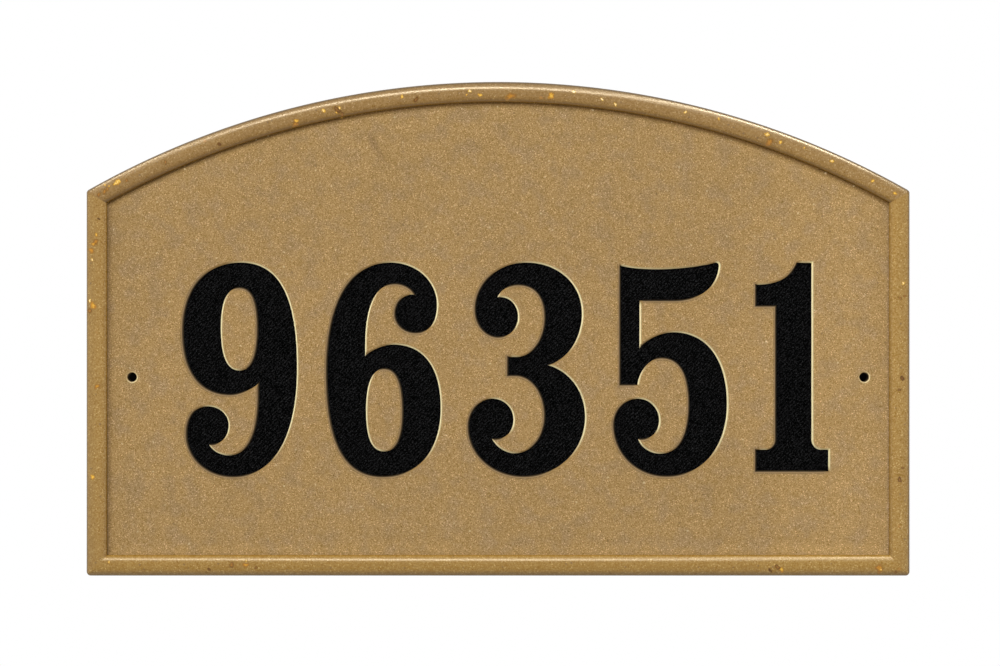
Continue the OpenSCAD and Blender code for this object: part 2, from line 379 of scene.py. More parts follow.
def buildTablet(materials):
    shell = newShell()
    edge = tablet["backEdge"]
    back = addRing(shell, outlineRing(edge), 0)
    last = back
    rolled = [(edge * (1 - math.sin(a)), edge * (1 - math.cos(a)))
              for a in np.linspace(0, math.pi / 2, 5)[1:]]
    for inset, level in rolled + [(0, level) for level in np.linspace(edge, fieldLevel, 7)[1:-1]]:
        ring = addRing(shell, outlineRing(inset), level)
        bridge(shell, last, ring, polished)
        last = ring
    for inset, level in beadSection():
        ring = addRing(shell, outlineRing(inset), level)
        bridge(shell, last, ring, polished)
        last = ring
    fieldRings, backRings = [last], [back]

    for side in (-1, 1):  # screw holes, from the back's edge through to the worn lip, with painted shade down the barrel and a painted highlight on the lip
        x, y = side * tablet["holeSpacing"] / 2, tablet["holeHeight"]
        r, lip, deep = tablet["holeRadius"], tablet["holeLip"], tablet["lipDepth"]
        section = [(r, 0), (r, fieldLevel * 0.5), (r, fieldLevel - lip * deep)]
        section += [(r + lip * (1 - math.cos(a)), fieldLevel - lip * (1 - math.sin(a)) * deep)
                    for a in np.linspace(0, math.pi / 2, 7)[1:]]
        around = np.linspace(0, 2 * math.pi, tablet["holePoints"] + 1)[:-1]
        # the lip's painted highlight is strongest at the lower right and weakest at the upper left
        lipLight = tablet["lipLightLeast"] + (1 - tablet["lipLightLeast"]) * np.cos(around + math.pi / 4)
        rings = [addRing(shell, circlePlan(x, y, radius), level, mark * (lipLight if mark > 0 else 1))
                 for (radius, level), mark in zip(section, tablet["holeMarks"])]
        for a, b in zip(rings, rings[1:]):
            bridge(shell, b, a, cutWall)
        rings.append(addRing(shell, circlePlan(x, y, r + lip + figures["lightShadeReach"]), fieldLevel))
        bridge(shell, rings[-1], rings[-2], blasted)
        fieldRings.append(rings[-1])
        backRings.append(rings[0])

    profile = mouthProfile()
    for outline, counter in placedLoops():
        floors = []
        for loop, way in ((outline, 1), (counter, -1)):
            if loop is None:
                continue
            mark = wallLightAndShade(loop, way)
            rings = [addRing(shell, grown(loop, way * offset), fieldLevel + depth, mark)
                     for offset, depth in profile]
            lightShadeReach = way * (profile[-1, 0] + figures["lightShadeReach"])
            rings.append(addRing(shell, grown(loop, lightShadeReach), fieldLevel))
            for a, b in zip(rings, rings[1:]):
                low, high = (b, a) if way > 0 else (a, b)
                bridge(shell, low, high, cutWall if b is not rings[-1] else blasted)
            floors.append(rings[0])
            if way > 0:
                fieldRings.append(rings[-1])
            else:
                cap(shell, [rings[-1]], 1, blasted)
        cap(shell, floors, 1, cutWall)
    cap(shell, fieldRings, 1, blasted)
    cap(shell, backRings, -1, castBack)
    return toMesh(shell, "tablet", materials, tablet["sharpAngle"])


fills = {
    "thickness": 0.3, "rise": 0.06, "bite": 0.01,  # how far it runs up the walls and into them
    "shoulder": 0.08, "shoulderRise": 0.4, "shoulderShade": 0.8, "fringe": 0.45,
    "holdBack": 0.85,  # share by which it stays off the walls with the painted highlight
    "sharpAngle": 40,
}


def buildFill(name, outline, counter, material):
    # the black coat: flat on the recess's floor, running up the walls with the painted shade, where
    # the mark paints its edge browner as part of that shade, and keeping to the floor beside the
    # walls with the painted highlight
    shell = newShell()
    leanPer = figures["lean"] / figures["depth"]
    floor = fieldLevel - figures["depth"]
    top = floor + fills["thickness"]
    rise = fills["rise"]
    section = [(0.0, floor, 1),
               ((fills["thickness"] + rise) * leanPer + fills["bite"], top + rise, 1),
               (-fills["shoulder"], top + fills["shoulderRise"] * rise, fills["shoulderShade"]),
               (-fills["fringe"], top, 0)]
    lows, highs = [], []
    for loop, way in ((outline, 1), (counter, -1)):
        if loop is None:
            continue
        mark = wallLightAndShade(loop, way)
        paintedLight = np.clip(mark, 0, 1)[:, None]
        rings = []
        for offset, level, fringeShade in section:
            plan = grown(loop, way * offset)
            if offset > 0:
                plan = plan + fills["holdBack"] * paintedLight * (loop - plan)
            rings.append(addRing(shell, plan, level, fringeShade * np.clip(-mark, 0, 1)))
        for a, b in zip(rings, rings[1:]):
            low, high = (a, b) if way > 0 else (b, a)
            bridge(shell, low, high, 0)
        lows.append(rings[0])
        highs.append(rings[-1])
    cap(shell, highs, 1, 0)
    cap(shell, lows, -1, 0)
    return toMesh(shell, name, [material], fills["sharpAngle"])


def beadLevel(inset):
    # level of the bead's top at an inset from the tablet's edge
    half, rise, side, run, crown = beadArcs()
    join = half - run * crown / (crown - side)
    u = np.clip(np.minimum(inset, 2 * half - inset), 0, half)
    arc = np.sqrt(np.maximum(side ** 2 - (side - u) ** 2, 0))
    top = rise - crown + np.sqrt(crown ** 2 - (half - u) ** 2)
    return fieldLevel + np.where(u < join, arc, top)


def insetOf(plan):
    # distance of plan points from the nearest edge of the tablet, inward
    x, y = plan[:, 0], plan[:, 1]
    arch = tablet["archRadius"] - np.hypot(x, y - archCentre)
    return np.minimum(np.minimum(halfWidth - np.abs(x), y), arch)


chips = {
    # x, y, width, and tone: 0 cream, 0.25 gold, 0.5 amber, 0.75 red-brown, 1 dark brown
    "places": [
        (-185.6, 190.5, 1.8, 0.2), (-184.6, 191.3, 2.4, 0.25), (-183.6, 191.6, 1.6, 0.3),
        (-190.9, 189.9, 1.1, 0.25), (-188.8, 189.3, 1.0, 0.3), (-193.7, 185.1, 1.7, 0.75),
        (-190.9, 186.5, 2.1, 0.7), (-189.5, 187.8, 1.6, 0.7), (-180.2, 192.0, 1.5, 0.75),
        (-161.4, 200.8, 1.7, 0.78), (-135.3, 209.6, 1.7, 1.0), (-98.4, 219.3, 2.4, 0.65),
        (-97.8, 220.9, 2.0, 0.33), (-84.6, 225.8, 1.7, 0.18), (-78.0, 226.1, 2.9, 0.9),
        (-76.9, 227.1, 1.5, 0.2), (-78.4, 225.0, 1.2, 0.3), (-75.7, 223.8, 1.8, 0.82),
        (-46.6, 232.6, 1.5, 0.28), (-39.9, 231.1, 2.6, 0.85), (-13.8, 235.4, 1.4, 0.05),
        (-15.3, 233.5, 1.0, 0.3), (-8.8, 233.4, 1.8, 0.3), (6.0, 232.8, 3.5, 0.6),
        (25.7, 233.0, 2.7, 0.38), (36.8, 235.0, 1.5, 0.0), (50.4, 231.3, 1.3, 0.0),
        (56.9, 228.9, 1.4, 0.08), (90.9, 225.1, 1.3, 0.12), (107.0, 221.9, 1.2, 0.3),
        (130.5, 214.3, 2.1, 0.2), (131.6, 210.5, 3.4, 0.65), (137.0, 210.5, 1.7, 0.25),
        (148.6, 207.9, 1.1, 0.3), (162.0, 201.3, 1.7, 0.2), (181.7, 191.7, 1.6, 0.28),
        (192.5, 185.7, 1.5, 0.3), (-193.7, 173.3, 1.0, 1.0), (-194.9, 165.7, 1.5, 0.3),
        (-195.2, 162.2, 2.3, 0.62), (-196.3, 161.1, 1.7, 0.5), (-197.3, 157.9, 2.6, 0.56),
        (-196.9, 153.5, 1.1, 0.12), (-198.2, 133.6, 1.4, 0.08), (-196.5, 131.2, 2.7, 0.42),
        (-198.2, 128.7, 1.9, 0.75), (-194.5, 92.1, 2.0, 0.52), (-196.7, 48.1, 2.4, 0.32),
        (196.7, 142.1, 1.5, 0.1), (197.2, 135.9, 1.1, 0.75), (195.0, 134.9, 1.3, 0.75),
        (196.0, 96.0, 2.0, 0.95), (194.6, 90.4, 1.3, 0.85), (196.4, 52.5, 1.3, 0.8),
        (194.8, 46.8, 2.2, 0.85), (-188.8, 6.8, 1.1, 0.25), (-140.2, 3.3, 1.5, 0.95),
        (-129.2, 5.4, 2.2, 0.72), (-122.4, 5.4, 2.4, 0.5), (-122.2, 7.5, 0.9, 0.25),
        (-117.4, 4.1, 1.3, 0.75), (132.2, 2.7, 1.9, 1.0), (135.6, 4.3, 2.2, 0.82),
        (137.6, 3.1, 2.0, 0.35), (185.0, 3.7, 3.4, 0.55), (185.7, 3.2, 1.6, 0.25),
        (193.1, 1.9, 1.4, 0.9),
    ],
    "seed": 7, "proud": 0.03, "sunk": 0.12, "wobble": 0.36, "stretch": (0.65, 0.95),
    "reach": 0.74, "paleReach": 0.66, "paleBelow": 0.35,  # rim radius as a share of the width
    "rimPoints": 32, "sharpAngle": 60,
    # share of the rim's radius and of the height that each ring of the lens has
    "rings": ((0.05, 1), (0.25, 0.95), (0.45, 0.8), (0.7, 0.45), (0.9, 0.1), (1, -0.4)),
}


def buildChips(material):
    # each chip is a closed lens on a grid of radius and angle: its rim wobbles as a sum of
    # three waves round the angle, its top follows the bead and stands a hair proud of it
    rng = np.random.default_rng(chips["seed"])
    shell = newShell()
    angle = np.linspace(0, 2 * math.pi, chips["rimPoints"] + 1)[:-1]
    for x, y, width, tone in chips["places"]:
        waves = rng.uniform(-1, 1, (3, 2))
        rim = 1 + chips["wobble"] * sum(
            (waves[k, 0] * np.cos((k + 2) * angle) + waves[k, 1] * np.sin((k + 2) * angle))
            / (k + 1.5) for k in range(3))
        way = rng.uniform(0, math.pi)
        stretch = rng.uniform(*chips["stretch"])
        flat = np.column_stack([np.cos(angle), stretch * np.sin(angle)]) * rim[:, None]
        spin = np.array([[math.cos(way), math.sin(way)], [-math.sin(way), math.cos(way)]])
        reach = chips["paleReach"] if tone < chips["paleBelow"] else chips["reach"]
        flat = flat @ spin * width * reach
        centre = np.array([x, y])
        rings = []
        for share, lift in chips["rings"]:
            plan = centre + share * flat
            level = beadLevel(insetOf(plan)) + chips["proud"] * lift
            level = np.minimum(level, tablet["thickness"])
            rings.append(addRing(shell, plan, level, share, tone))
        plan = centre + 0.5 * flat
        low = addRing(shell, plan, beadLevel(insetOf(plan)) - chips["sunk"], 1.0, tone)
        for a, b in zip(rings[1:], rings):
            bridge(shell, a, b, 0)
        bridge(shell, low, rings[-1], 0)
        cap(shell, [rings[0]], 1, 0)
        cap(shell, [low], -1, 0)
    return toMesh(shell, "stoneChips", [material], chips["sharpAngle"])


def setInputs(tree, node, inputs):
    # sockets by name or number, each given a link or a value
    for key, value in inputs.items():
        if isinstance(value, bpy.types.NodeSocket):
            tree.links.new(value, node.inputs[key])
        else:
            node.inputs[key].default_value = value


def put(tree, kind, inputs=None, **settings):
    # one node: its settings, then its inputs
    node = tree.nodes.new("ShaderNode" + kind)
    for key, value in settings.items():
        setattr(node, key, value)
    setInputs(tree, node, inputs or {})
    return node


def calc(tree, operation, a, b=0.0, c=0.0, clamp=False):
    node = put(tree, "Math", {0: a, 1: b, 2: c}, operation=operation, use_clamp=clamp)
    return node.outputs[0]


def times(tree, product, *factors):
    for factor in factors:
        product = calc(tree, "MULTIPLY", product, factor)
    return product


def greatest(tree, value, *others):
    for other in others:
        value = calc(tree, "MAXIMUM", value, other)
    return value


def ramp(tree, value, low, high, start=0.0, end=1.0):
    # a smooth step from start at low to end at high
    node = put(tree, "MapRange", {"Value": value, "From Min": low, "From Max": high,
                                  "To Min": start, "To Max": end},
               interpolation_type="SMOOTHSTEP")
    return node.outputs["Result"]


def blend(tree, factor, a, b):
    return put(tree, "Mix", {0: factor, 6: a, 7: b}, data_type="RGBA").outputs[2]


def vary(tree, colour, amount, share=(1, 1, 1)):
    # colour times (1 + amount * share), with its own share for red, green and blue
    spread = put(tree, "VectorMath", {0: share, "Scale": amount}, operation="SCALE")
    factor = put(tree, "VectorMath", {0: spread.outputs[0], 1: (1, 1, 1)}, operation="ADD")
    clear = put(tree, "VectorMath", {0: factor.outputs[0], 1: (0.05, 0.05, 0.05)},
                operation="MAXIMUM")
    start = colour if isinstance(colour, bpy.types.NodeSocket) else colour[:3]
    return put(tree, "VectorMath", {0: start, 1: clear.outputs[0]},
               operation="MULTIPLY").outputs[0]


def randomOf(tree, cells):
    # three random numbers from 0 to 1 for each cell of a Voronoi texture
    return put(tree, "SeparateColor", {0: cells.outputs["Color"]}).outputs


def newGroup(name, inputs, outputs):
    group = bpy.data.node_groups.new(name, "ShaderNodeTree")
    for label, kind, default in inputs:
        socket = group.interface.new_socket(name=label, in_out="INPUT",
                                            socket_type="NodeSocket" + kind)
        if default is not None:
            socket.default_value = default
    for label in outputs:
        group.interface.new_socket(name=label, in_out="OUTPUT", socket_type="NodeSocketFloat")
    return group, group.nodes.new("NodeGroupInput").outputs, group.nodes.new("NodeGroupOutput")


def closeGroup(group, out, values):
    setInputs(group, out, values)
    return group


def grainGroup():
    # grains of sand: one random lightness for each cell, a few much paler or darker
    group, given, out = newGroup(
        "sandGrain", [("Place", "Vector", None), ("Scale", "Float", 1500.0)], ["Light", "Height"])
    cells = put(group, "TexVoronoi", {"Vector": given["Place"], "Scale": given["Scale"]})
    pick = randomOf(group, cells)
    half = times(group, given["Scale"], 0.55)
    fine = put(group, "TexNoise", {"Vector": given["Place"], "Scale": half, "Detail": 2.0})
    body = calc(group, "MULTIPLY_ADD", pick[0], 1.2, -0.6)
    drift = calc(group, "MULTIPLY_ADD", fine.outputs[0], 2.2, -1.1)
    pale = ramp(group, pick[1], 0.88, 0.99, 0, 2.0)
    dark = ramp(group, pick[2], 0.93, 1.0, 0, 0.8)
    light = calc(group, "ADD", body, drift)
    light = calc(group, "SUBTRACT", calc(group, "ADD", light, pale), dark)
    height = calc(group, "MULTIPLY_ADD", pick[0], 0.6, fine.outputs[0])
    return closeGroup(group, out, {"Light": light, "Height": height})


# rightEnd paints light on the right end, top paints shade at the top
clouds = {"wide": 24.0, "close": 110.0, "rightEnd": (0.10, 0.17, 0, 1.7), "top": (0, 0.1, 0, -1.1)}


def cloudGroup():
    # slow drifts of tone over the casting, about -1 to 1, with painted light at the right end and
    # painted shade at the top
    group, given, out = newGroup("stoneClouds", [("Place", "Vector", None)], ["Drift"])
    place = given["Place"]
    wide = put(group, "TexNoise", {"Vector": place, "Scale": clouds["wide"], "Detail": 3.0})
    close = put(group, "TexNoise", {"Vector": place, "Scale": clouds["close"], "Detail": 2.0})
    x, y, z = put(group, "SeparateXYZ", {0: place}).outputs
    # painted light at the right end, painted shade at the top
    ends = calc(group, "ADD", ramp(group, x, *clouds["rightEnd"]), ramp(group, z, *clouds["top"]))
    a = calc(group, "MULTIPLY_ADD", wide.outputs[0], 2.4, -1.2)
    b = calc(group, "MULTIPLY_ADD", close.outputs[0], 2.6, -1.3)
    return closeGroup(group, out, {"Drift": calc(group, "ADD", calc(group, "ADD", a, b), ends)})


def speckGroup():
    # specks strewn one to a cell: a share of the cells has one, of a random size
    group, given, out = newGroup(
        "strewnSpecks",
        [("Place", "Vector", None), ("Scale", "Float", 250.0), ("Share", "Float", 0.1),
         ("Size", "Float", 0.2)], ["Mask"])
    bend = put(group, "TexNoise", {"Vector": given["Place"], "Scale": 900.0, "Detail": 1.0})
    shift = put(group, "VectorMath", {0: bend.outputs["Color"], "Scale": 0.0008},
                operation="SCALE")
    place = put(group, "VectorMath", {0: given["Place"], 1: shift.outputs[0]}, operation="ADD")
    cells = put(group, "TexVoronoi", {"Vector": place.outputs[0], "Scale": given["Scale"]})
    pick = randomOf(group, cells)
    there = calc(group, "LESS_THAN", pick[0], given["Share"])
    size = times(group, given["Size"], calc(group, "MULTIPLY_ADD", pick[1], 0.9, 0.4))
    near = ramp(group, cells.outputs["Distance"], size, times(group, size, 0.45))
    return closeGroup(group, out, {"Mask": times(group, there, near)})


border = {
    # all in millimetres in from an edge of the tablet, and shares of full strength
    "change": 0.4, "bead": (9.8, 10.2),  # where a mask changes sides, and where the bead ends
    "leftFrom": (60.0, -60.0),  # x at which the shade begins and ends to be that of the left
    "under": (7.2, 9.9), "underEnd": (13.0, 10.2), "underShare": 0.8,
    "beside": (7.8, 10.0), "besideEnd": 10.9, "besideLeft": 2.6,
    "besideShare": 0.36, "besideMore": 0.1, "leftOnBead": -0.6,
    # painted shade along the outer edges: at the rim, on the foot's lower slope and on the left
    # side's outer slope
    "rimShade": (1.5, 0.35, 0, 0.62), "footEdgeShade": (3.4, 0.4, 0, 0.55),
    "leftEdgeShade": (9.0, 0.0, 0, 0.22),
}


def borderGroup():
    # from the distances to the tablet's edges in millimetres: which edge is nearest, the painted
    # shade where the field meets the bead, and the painted shade along the outer edges
    group, given, out = newGroup("borderMasks", [("Place", "Vector", None)],
                                 ["Inset", "Arch", "Foot", "Left", "Shade", "EdgeShade"])
    scaled = put(group, "VectorMath", {0: given["Place"], "Scale": 1000.0}, operation="SCALE")
    x, y, z = put(group, "SeparateXYZ", {0: scaled.outputs[0]}).outputs
    side = calc(group, "SUBTRACT", halfWidth, calc(group, "ABSOLUTE", x))
    foot = calc(group, "ADD", z, tablet["holeHeight"])
    up = calc(group, "SUBTRACT", z, archCentre - tablet["holeHeight"])
    reach = calc(group, "ADD", times(group, x, x), times(group, up, up))
    arch = calc(group, "SUBTRACT", tablet["archRadius"], calc(group, "SQRT", reach))
    least = calc(group, "MINIMUM", calc(group, "MINIMUM", side, foot), arch)

    byArch = ramp(group, calc(group, "SUBTRACT", side, arch), -border["change"], 0.0)
    byFoot = ramp(group, calc(group, "SUBTRACT", side, foot), -border["change"], 0.0)
    bySide = calc(group, "SUBTRACT", 1.0, calc(group, "ADD", byArch, byFoot), clamp=True)
    inField = ramp(group, least, *border["bead"])
    leftward = ramp(group, x, *border["leftFrom"])
    left = times(group, leftward, bySide)

    under = times(group, ramp(group, arch, *border["under"]), ramp(group, arch, *border["underEnd"]),
                  greatest(group, byArch, inField), border["underShare"])
    end = calc(group, "MULTIPLY_ADD", leftward, border["besideLeft"], border["besideEnd"])
    onBead = calc(group, "MULTIPLY_ADD", left, border["leftOnBead"], bySide)
    share = calc(group, "MULTIPLY_ADD", leftward, border["besideMore"], border["besideShare"])
    beside = times(group, ramp(group, side, *border["beside"]),
                   ramp(group, side, end, border["beside"][1]),
                   greatest(group, onBead, inField), share)
    # painted shade along the bead's outer edges
    edgeShade = greatest(group, ramp(group, least, *border["rimShade"]),
                     times(group, ramp(group, foot, *border["footEdgeShade"]), byFoot),
                     times(group, ramp(group, side, *border["leftEdgeShade"]), left))
    return closeGroup(group, out, {
        "Inset": least, "Arch": byArch, "Foot": byFoot, "Left": left,
        "Shade": greatest(group, under, beside), "EdgeShade": edgeShade})


groups = {"grain": grainGroup(), "clouds": cloudGroup(), "specks": speckGroup(),
          "border": borderGroup()}


def useGroup(tree, name, place, **inputs):
    node = tree.nodes.new("ShaderNodeGroup")
    node.node_tree = groups[name]
    setInputs(tree, node, {"Place": place, **inputs})
    return node.outputs


def specksOf(tree, place, specks):
    scale, share, size = specks
    return useGroup(tree, "specks", place, Scale=scale, Share=share, Size=size)["Mask"]


def startMaterial(name, look):
    material = bpy.data.materials.new(name)
    material.use_nodes = True
    tree = material.node_tree
    shader = tree.nodes["Principled BSDF"]
    shader.inputs["Roughness"].default_value = look["roughness"]
    shader.inputs["Specular IOR Level"].default_value = look["specular"]
    place = tree.nodes.new("ShaderNodeTexCoord").outputs["Object"]
    return material, tree, shader, place


def finishMaterial(tree, shader, tone, height, look):
    tree.links.new(tone, shader.inputs["Base Color"])
    strength, distance = look["bump"]
    node = put(tree, "Bump", {"Height": height, "Strength": strength, "Distance": distance})
    tree.links.new(node.outputs[0], shader.inputs["Normal"])


def readMark(tree, name="mark"):
    node = tree.nodes.new("ShaderNodeAttribute")
    node.attribute_name = name
    return node.outputs["Fac"]


sharedTones = {
    # the crease tone is a painted shade
    "speck": (0.13, 0.075, 0.035, 1), "creaseShade": (0.10, 0.043, 0.002, 1),
    # the pale cream is the walls' painted highlight
    "paintedLight": (1.0, 0.88, 0.50, 1), "grainShare": (0.16, 0.18, 0.30),
}
blastedLook = {
    "tone": (0.362, 0.226, 0.084, 1), "greyTone": (0.330, 0.214, 0.094, 1),
    "patchScale": 105.0, "patches": (0.42, 0.68),
    "smearPlace": (-0.0594, 0, 0.1121), "smearTurn": -29, "smearSize": (0.0024, 1, 0.0125),
    "smear": (1.0, 0.3, 0, 0.3),
    # a grey painted shade on the field along the bead, left off beside the foot
    "haloShadeTone": (0.30, 0.205, 0.125, 1), "haloShade": (10.0, 12.0, 0.35, 0),
    # painted light on the field just above the foot
    "footPaintedLight": (18, 12.5, 0, 0.1), "footShare": (1, 1, 0.8),
    "drift": 0.055, "grainScale": 2800.0, "grain": 2.4,
    "darkSpecks": (260.0, 0.12, 0.20), "dark": 0.45,
    "paleSpecks": (520.0, 0.13, 0.30), "pale": 0.36, "paleTone": (0.95, 0.80, 0.50, 1),
    # the painted shadow beside the shaded walls, and the share of the faint painted highlight beside
    # the lit ones
    "paintedShadow": 0.62, "paintedShadowTone": (0.09, 0.06, 0.035, 1), "paintedLight": 0.05,
    "roughness": 0.85, "specular": 0.25, "bump": (0.35, 0.0002),
}


def blastedStone():
    # the field: patches of two tones, a slanted smear near the top, a grey painted shade along
    # the bead that the foot lacks, painted light above the foot, the painted crease shade, grain and
    # specks, and a painted shadow and a faint painted highlight beside the figures' walls
    look = blastedLook
    material, tree, shader, place = startMaterial("blastedStone", look)
    grain = useGroup(tree, "grain", place, Scale=look["grainScale"])
    edge = useGroup(tree, "border", place)
    inset = edge["Inset"]
    patch = put(tree, "TexNoise", {"Vector": place, "Scale": look["patchScale"], "Detail": 3.0})
    tone = blend(tree, ramp(tree, patch.outputs[0], *look["patches"]), look["tone"],
                 look["greyTone"])
    smear = put(tree, "Mapping", {"Vector": place, "Location": look["smearPlace"],
                                  "Rotation": (0, math.radians(look["smearTurn"]), 0),
                                  "Scale": look["smearSize"]}, vector_type="TEXTURE")
    reach = put(tree, "VectorMath", {0: smear.outputs[0]}, operation="LENGTH").outputs["Value"]
    tone = blend(tree, ramp(tree, reach, *look["smear"]), tone, sharedTones["speck"])
    # painted shade along the bead, left off beside the foot
    near = times(tree, ramp(tree, inset, *look["haloShade"]), ramp(tree, edge["Foot"], 0, 1, 1, 0))
    tone = blend(tree, near, tone, look["haloShadeTone"])
    # painted light on the field just above the foot
    lift = times(tree, edge["Foot"], ramp(tree, inset, *look["footPaintedLight"]))
    tone = vary(tree, tone, lift, look["footShare"])
    # painted shade in the crease under the arch and beside the side beads
    tone = blend(tree, edge["Shade"], tone, sharedTones["creaseShade"])
    drift = useGroup(tree, "clouds", place)["Drift"]
    tone = vary(tree, tone, times(tree, drift, look["drift"]))
    tone = vary(tree, tone, times(tree, grain["Light"], look["grain"]), sharedTones["grainShare"])
    dark = times(tree, specksOf(tree, place, look["darkSpecks"]), look["dark"])
    pale = times(tree, specksOf(tree, place, look["paleSpecks"]), look["pale"])
    tone = blend(tree, dark, tone, sharedTones["speck"])
    tone = blend(tree, pale, tone, look["paleTone"])
    mark = readMark(tree)
    # painted shadow on the field beside the shaded walls, faint painted highlight beside the lit
    # ones
    paintedShadow = calc(tree, "MULTIPLY", mark, -look["paintedShadow"], clamp=True)
    tone = blend(tree, paintedShadow, tone, look["paintedShadowTone"])
    paintedLight = calc(tree, "MULTIPLY", mark, look["paintedLight"], clamp=True)
    tone = blend(tree, paintedLight, tone, sharedTones["paintedLight"])
    finishMaterial(tree, shader, tone, grain["Height"], look)
    return material


polishedLook = {
    "tone": (0.330, 0.184, 0.033, 1), "archTone": (0.283, 0.157, 0.036, 1),
    # painted light on the foot's inner slope and the left side's inner part, painted shade on the
    # arch's inner slope
    "footPaintedLight": (7.6, 9.8, 0, 0.24), "footShare": (1, 0.95, 0.4),
    "archShade": (6.5, 9.5, 0, 0.75), "archShare": (0, -0.08, -0.8),
    "leftPaintedLight": (1.5, 8.0, 0, 0.16),
    "drift": 0.05, "driftShare": (0.8, 1, 1.4),
    "grainScale": 1900.0, "grain": 1.4, "grainShare": (0.16, 0.235, 0.62),
    "darkSpecks": (420.0, 0.22, 0.24), "dark": 0.5,
    "amberSpecks": (190.0, 0.09, 0.20), "amber": 0.4, "amberTone": (0.50, 0.21, 0.03, 1),
    # the tone of the painted shade along the outer edges
    "edgeShadeTone": (0.085, 0.062, 0.035, 1),
    "gloss": (0.5, 1.4, 0.0, 0.3), "footGloss": 0.1, "coatRoughness": 0.2,
    "roughness": 0.26, "specular": 0.5, "bump": (0.06, 0.0002),
}


def polishedStone():
    # the bead: a darker tone on the arch, painted light on the foot's inner slope and the left
    # side's inner part, painted shade on the arch's inner slope, then drift, grain, dark and amber
    # specks, the painted crease shade at its inner foot and the painted shade at the rim; gloss on
    # its top
    look = polishedLook
    material, tree, shader, place = startMaterial("polishedStone", look)
    grain = useGroup(tree, "grain", place, Scale=look["grainScale"])
    edge = useGroup(tree, "border", place)
    inset = edge["Inset"]
    tone = blend(tree, edge["Arch"], look["tone"], look["archTone"])
    # painted light on the foot's inner slope and the left side's inner part, painted shade with less
    # blue on the arch's inner slope
    for where, change, share in (("Foot", "footPaintedLight", look["footShare"]),
                                 ("Arch", "archShade", look["archShare"]),
                                 ("Left", "leftPaintedLight", (1, 1, 1))):
        amount = times(tree, edge[where], ramp(tree, inset, *look[change]))
        tone = vary(tree, tone, amount, share)
    drift = useGroup(tree, "clouds", place)["Drift"]
    tone = vary(tree, tone, times(tree, drift, look["drift"]), look["driftShare"])
    tone = vary(tree, tone, times(tree, grain["Light"], look["grain"]), look["grainShare"])
    dark = times(tree, specksOf(tree, place, look["darkSpecks"]), look["dark"])
    amber = times(tree, specksOf(tree, place, look["amberSpecks"]), look["amber"])
    tone = blend(tree, dark, tone, sharedTones["speck"])
    tone = blend(tree, amber, tone, look["amberTone"])
    # painted shade in the crease at the bead's inner foot
    tone = blend(tree, edge["Shade"], tone, sharedTones["creaseShade"])
    # painted shade along the bead's outer edges
    tone = blend(tree, edge["EdgeShade"], tone, look["edgeShadeTone"])
    shader.inputs["Coat Roughness"].default_value = look["coatRoughness"]
    gloss = times(tree, ramp(tree, inset, *look["gloss"]),
                  ramp(tree, edge["Foot"], 0.0, 1.0, 1.0, look["footGloss"]))
    tree.links.new(gloss, shader.inputs["Coat Weight"])
    finishMaterial(tree, shader, tone, grain["Height"], look)
    return material


cutLook = {
    # the walls' painted shade, brown at the mouth and black at depth, and the depths over which the
    # painted highlight comes in
    "wallShadeTone": (0.44, 0.29, 0.14, 1), "deepTone": (0.10, 0.07, 0.038, 1),
    "wallShadeDepth": (0.0, 1.6), "paintedLightDepth": (0.05, 0.6, 0.35, 1),
    "grainScale": 2400.0, "grain": 0.5,
    "roughness": 0.8, "specular": 0.15, "bump": (0.15, 0.0002),
}


def cutStone():
    # walls with the painted highlight are pale cream; walls with the painted shade go from brown at
    # the mouth to black at the floor
    look = cutLook
    material, tree, shader, place = startMaterial("cutStone", look)
    grain = useGroup(tree, "grain", place, Scale=look["grainScale"])
    y = put(tree, "SeparateXYZ", {0: place}).outputs[1]
    depth = calc(tree, "MULTIPLY_ADD", y, 1000.0, fieldLevel)
    # the painted shade's tone, from brown at the mouth to black at depth
    wallShade = blend(tree, ramp(tree, depth, *look["wallShadeDepth"]), look["wallShadeTone"],
                  look["deepTone"])
    mark = readMark(tree)
    # painted highlight on the lit walls, painted shade on the walls opposite
    paintedLight = calc(tree, "MULTIPLY", mark, ramp(tree, depth, *look["paintedLightDepth"]), clamp=True)
    paintedShade = calc(tree, "MULTIPLY", mark, -1.0, clamp=True)
    tone = blend(tree, paintedLight, blastedLook["tone"], sharedTones["paintedLight"])
    tone = vary(tree, tone, times(tree, grain["Light"], look["grain"]), sharedTones["grainShare"])
    tone = blend(tree, paintedShade, tone, wallShade)
    finishMaterial(tree, shader, tone, grain["Height"], look)
    return material


backLook = {
    "tone": (0.34, 0.225, 0.10, 1), "drift": 0.07, "grainScale": 900.0, "grain": 0.6,
    "pores": (150.0, 0.3, 0.2), "poreShade": 0.6, "poreDepth": 2.0,
    "roughness": 0.75, "specular": 0.3, "bump": (0.4, 0.0004),
}


def backStone():
    # the cast back, with coarse grain and pores
    look = backLook
    material, tree, shader, place = startMaterial("castBack", look)
    grain = useGroup(tree, "grain", place, Scale=look["grainScale"])
    drift = useGroup(tree, "clouds", place)["Drift"]
    pores = specksOf(tree, place, look["pores"])
    tone = vary(tree, look["tone"], times(tree, drift, look["drift"]))
    tone = vary(tree, tone, times(tree, grain["Light"], look["grain"]), sharedTones["grainShare"])
    tone = blend(tree, times(tree, pores, look["poreShade"]), tone, sharedTones["speck"])
    height = calc(tree, "SUBTRACT", grain["Height"], times(tree, pores, look["poreDepth"]))
    finishMaterial(tree, shader, tone, height, look)
    return material


blackLook = {
    "tone": (0.0004, 0.0004, 0.0004, 1), "grainTone": (0.034, 0.034, 0.035, 1),
    "fringeShadeTone": (0.040, 0.028, 0.015, 1), "grainScale": 4200.0, "spread": (0.56, 1.22),
    "streakEvery": 1.37, "streak": 0.10, "sway": 6.0, "swayScale": 300.0,
    "roughness": 0.9, "specular": 0.0, "bump": (0.2, 0.0002),
}


